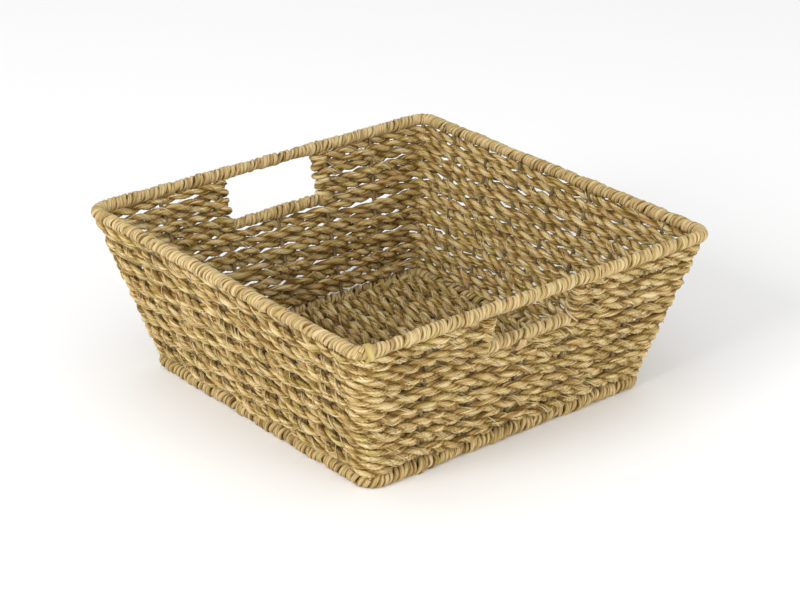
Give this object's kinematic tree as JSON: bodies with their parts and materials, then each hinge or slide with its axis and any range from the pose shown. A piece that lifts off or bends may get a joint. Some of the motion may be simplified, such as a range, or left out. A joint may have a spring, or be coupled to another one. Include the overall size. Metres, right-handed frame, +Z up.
{
  "type": "storage basket",
  "caption": "Open square storage basket of twisted seagrass woven on a steel wire frame, wider at the top, with wrapped rim and base and rectangular hand holes in opposite walls.",
  "frame": {"origin": "centre of the base, on the surface the basket stands on", "axes": "+Z up; the plain walls face -X and +X, the handle walls face -Y and +Y"},
  "size_m": [0.3812, 0.3812, 0.1482],
  "materials": {
    "steel_wire": "dull grey drawn wire",
    "seagrass_binding": "wrapped pale seagrass strand, matt with a slight sheen",
    "seagrass_weave": "twisted two-ply seagrass cord, matt"
  },
  "bodies": {
    "root": {"rim_wire": "steel_wire", "base_wire": "steel_wire", "corner_post_1": "steel_wire", "stake_right_1": "steel_wire", "stake_right_2": "steel_wire", "stake_right_3": "steel_wire", "stake_right_4": "steel_wire", "stake_right_5": "steel_wire", "stake_right_6": "steel_wire", "stake_right_7": "steel_wire", "corner_post_2": "steel_wire", "stake_back_1": "steel_wire", "stake_back_2": "steel_wire", "stake_back_3": "steel_wire", "stake_back_4": "steel_wire", "stake_back_5": "steel_wire", "corner_post_3": "steel_wire", "stake_left_1": "steel_wire", "stake_left_2": "steel_wire", "stake_left_3": "steel_wire", "stake_left_4": "steel_wire", "stake_left_5": "steel_wire", "stake_left_6": "steel_wire", "stake_left_7": "steel_wire", "corner_post_4": "steel_wire", "stake_front_1": "steel_wire", "stake_front_2": "steel_wire", "stake_front_3": "steel_wire", "stake_front_4": "steel_wire", "stake_front_5": "steel_wire", "floor_rib_1": "steel_wire", "floor_rib_2": "steel_wire", "floor_rib_3": "steel_wire", "floor_rib_4": "steel_wire", "floor_rib_5": "steel_wire", "rim_binding_right": "seagrass_binding", "base_binding_right": "seagrass_binding", "rim_binding_back": "seagrass_binding", "base_binding_back": "seagrass_binding", "rim_binding_left": "seagrass_binding", "base_binding_left": "seagrass_binding", "rim_binding_front": "seagrass_binding", "base_binding_front": "seagrass_binding", "weave_right": "seagrass_weave", "rail_wire_back": "steel_wire", "rail_binding_back": "seagrass_binding", "weave_back_lower": "seagrass_weave", "weave_back_shoulder_a": "seagrass_weave", "weave_back_shoulder_b": "seagrass_weave", "weave_left": "seagrass_weave", "rail_wire_front": "steel_wire", "rail_binding_front": "seagrass_binding", "weave_front_lower": "seagrass_weave", "weave_front_shoulder_a": "seagrass_weave", "weave_front_shoulder_b": "seagrass_weave", "weave_floor": "seagrass_weave"}
  },
  "joints": []
}
